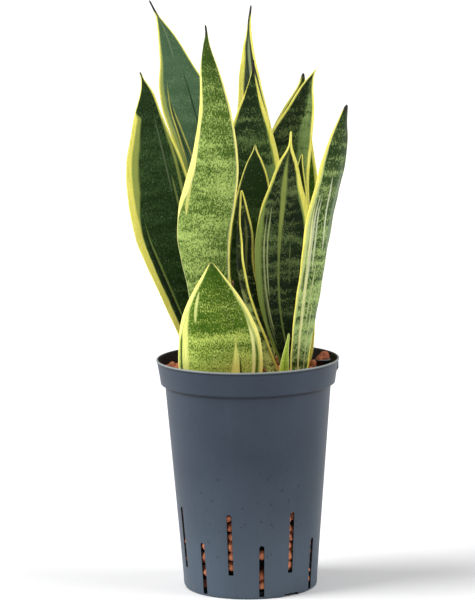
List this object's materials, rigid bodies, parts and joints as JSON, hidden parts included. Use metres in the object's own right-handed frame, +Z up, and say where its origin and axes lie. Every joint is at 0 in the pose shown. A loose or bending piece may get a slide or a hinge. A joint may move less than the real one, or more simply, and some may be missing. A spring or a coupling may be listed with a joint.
{
  "type": "potted snake plant",
  "caption": "Upright variegated snake plant with stiff sword-shaped leaves, growing in expanded clay granules in a tapered culture pot with a rim band and side slots.",
  "frame": {"origin": "on the pot's axis, on the surface the pot stands on", "axes": "+Z up along the pot's axis, -Y towards the front, +X to the viewer's right"},
  "size_m": [0.1795, 0.15, 0.478],
  "materials": {
    "pot_plastic": "matt moulded, dark slate grey",
    "expanded_clay": "rough fired clay, red-brown",
    "gauge_plastic": "matt black",
    "rhizome": "dull, fibrous",
    "leaf_light": "waxy, light green mottled with yellow margins",
    "leaf_dark": "waxy, dark green banded with yellow margins",
    "leaf_grey_green": "waxy, grey-green with pale yellow margins"
  },
  "bodies": {
    "root": {"culture_pot": "pot_plastic", "clay_granules": "expanded_clay", "cup_granule_left": "expanded_clay", "cup_granule_right": "expanded_clay", "gauge_cup": "gauge_plastic", "rhizome_left": "rhizome", "rhizome_middle": "rhizome", "rhizome_right": "rhizome", "rhizome_rear_right": "rhizome", "leaf_front": "leaf_light", "leaf_centre_left": "leaf_light", "leaf_right": "leaf_light", "leaf_sprout": "leaf_light", "leaf_far_left": "leaf_dark", "leaf_small_centre": "leaf_dark", "leaf_centre": "leaf_dark", "leaf_centre_right": "leaf_dark", "leaf_clasping": "leaf_dark", "leaf_hidden_right": "leaf_dark", "leaf_back_left": "leaf_grey_green", "leaf_back_centre": "leaf_grey_green", "leaf_back_right": "leaf_grey_green", "leaf_rear_right": "leaf_grey_green"}
  },
  "joints": []
}
